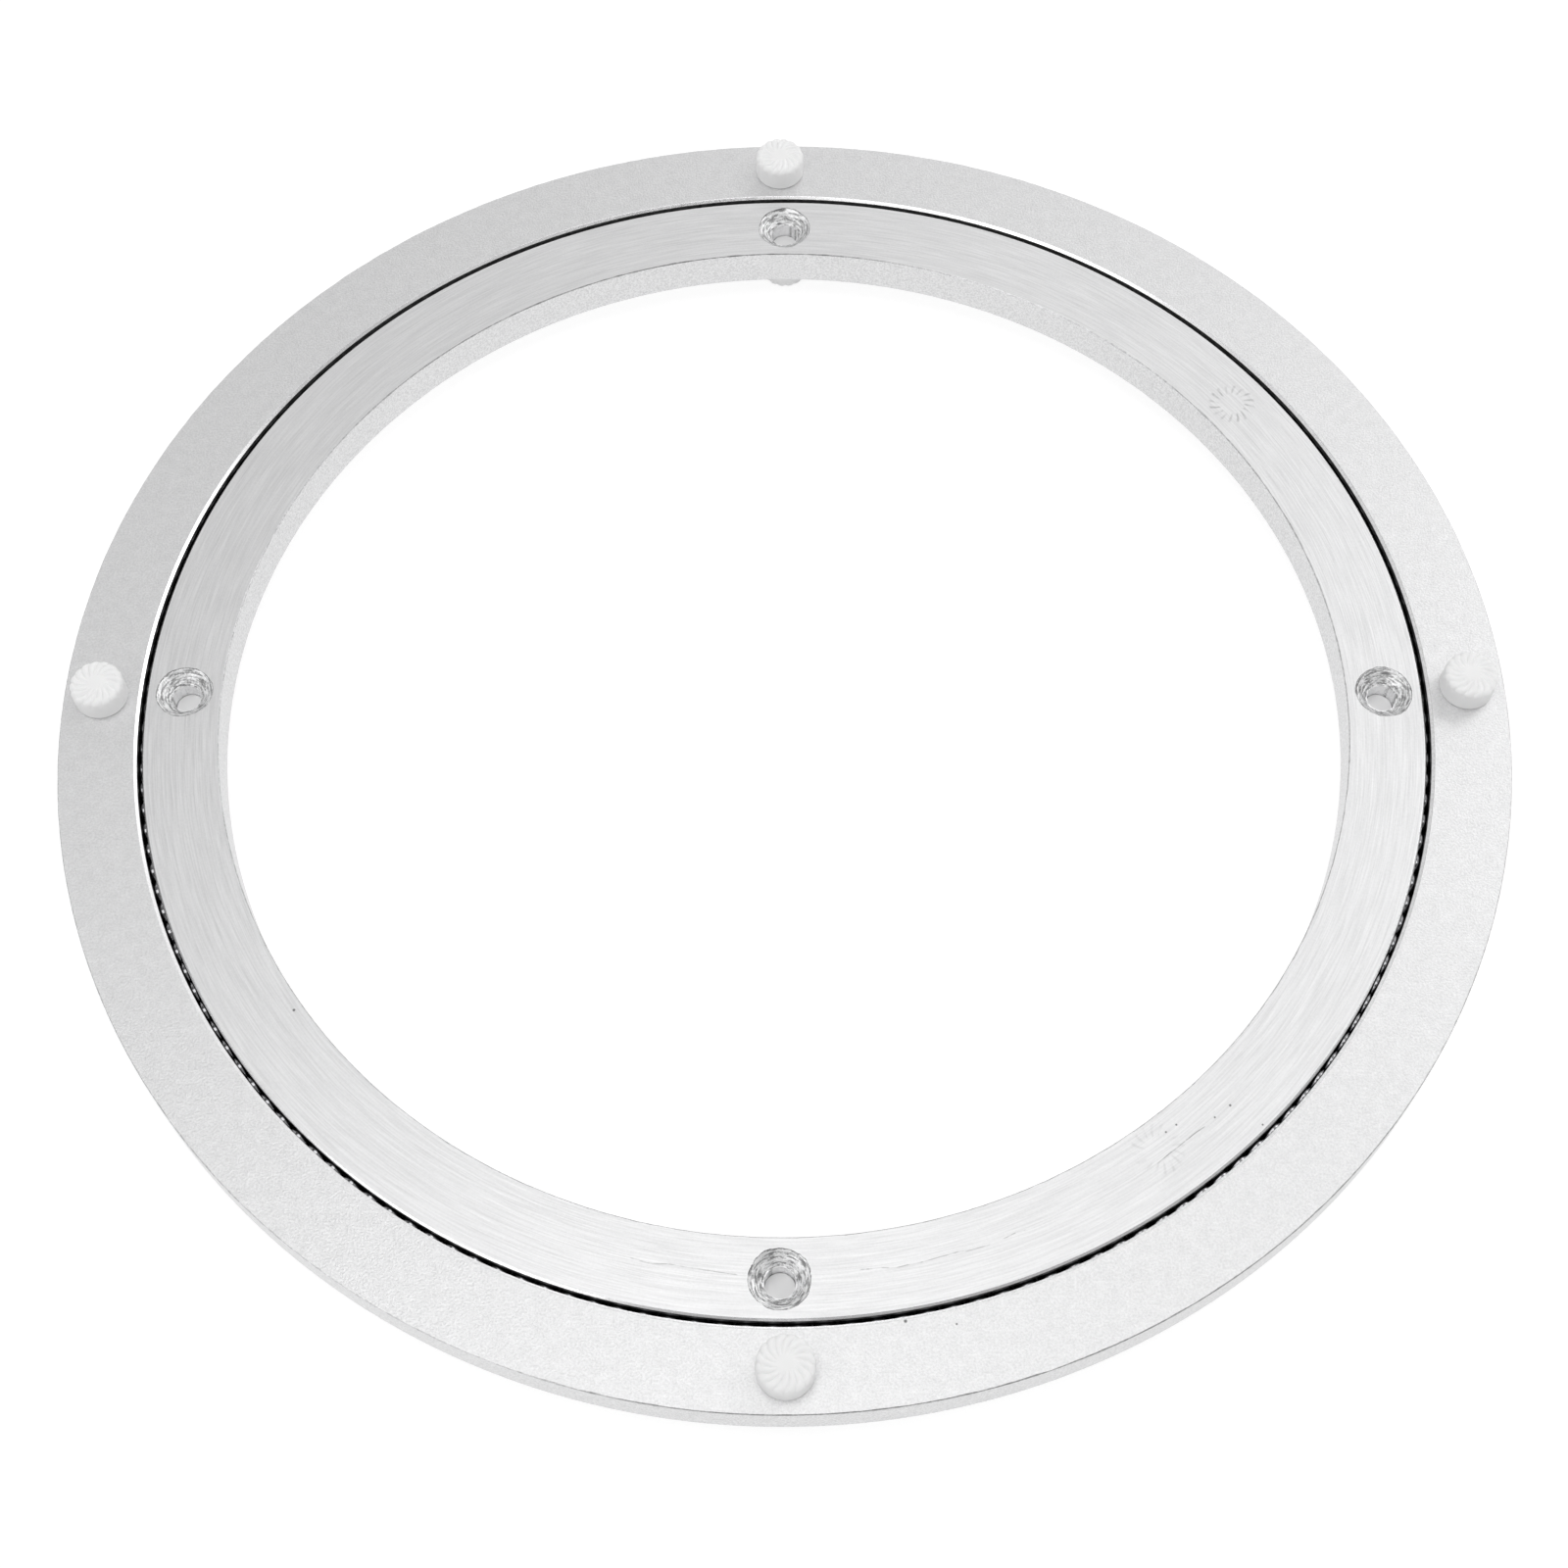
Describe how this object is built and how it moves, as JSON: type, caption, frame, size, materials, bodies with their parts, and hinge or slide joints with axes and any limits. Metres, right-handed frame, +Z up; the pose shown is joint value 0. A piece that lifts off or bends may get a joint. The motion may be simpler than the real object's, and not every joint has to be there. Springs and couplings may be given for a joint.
{
  "type": "lazy susan bearing",
  "caption": "Flat ring bearing for a turntable: a fixed inner ring with countersunk screw holes and feet, and an outer ring with pads that turns on a full circle of balls.",
  "frame": {"origin": "on the bearing's axis, at the soles of the feet", "axes": "+Z up along the bearing's axis, +X through a screw hole of the inner ring"},
  "size_m": [0.3, 0.3, 0.0208],
  "materials": {
    "turned_aluminium": "matt, fine turning lines on the face, blasted bore wall",
    "blasted_aluminium": "bead blasted and clear anodised, matt",
    "plug_aluminium": "turned flush with the rim",
    "ball_steel": "polished bearing steel",
    "white_rubber": "soft white moulded rubber, satin"
  },
  "bodies": {
    "base": {"inner_ring": "turned_aluminium", "foot_1": "white_rubber", "foot_2": "white_rubber", "foot_3": "white_rubber", "foot_4": "white_rubber"},
    "turntable": {"outer_ring": "blasted_aluminium", "ball_filler_plug": "plug_aluminium", "top_pad_1": "white_rubber", "top_pad_2": "white_rubber", "top_pad_3": "white_rubber", "top_pad_4": "white_rubber"},
    "ball_train": {"bearing_balls": "ball_steel"}
  },
  "joints": [
    {"name": "turntable_spin", "type": "hinge", "parent": "base", "child": "turntable", "pos_m": [0, 0, 0.0104], "axis": [0, 0, 1], "continuous": true},
    {"name": "ball_circle_turn", "type": "hinge", "parent": "base", "child": "ball_train", "pos_m": [0, 0, 0.0104], "axis": [0, 0, 1], "continuous": true}
  ],
  "couplings": [
    {"joint": "ball_circle_turn", "follows": "turntable_spin", "ratio": 0.5063}
  ]
}
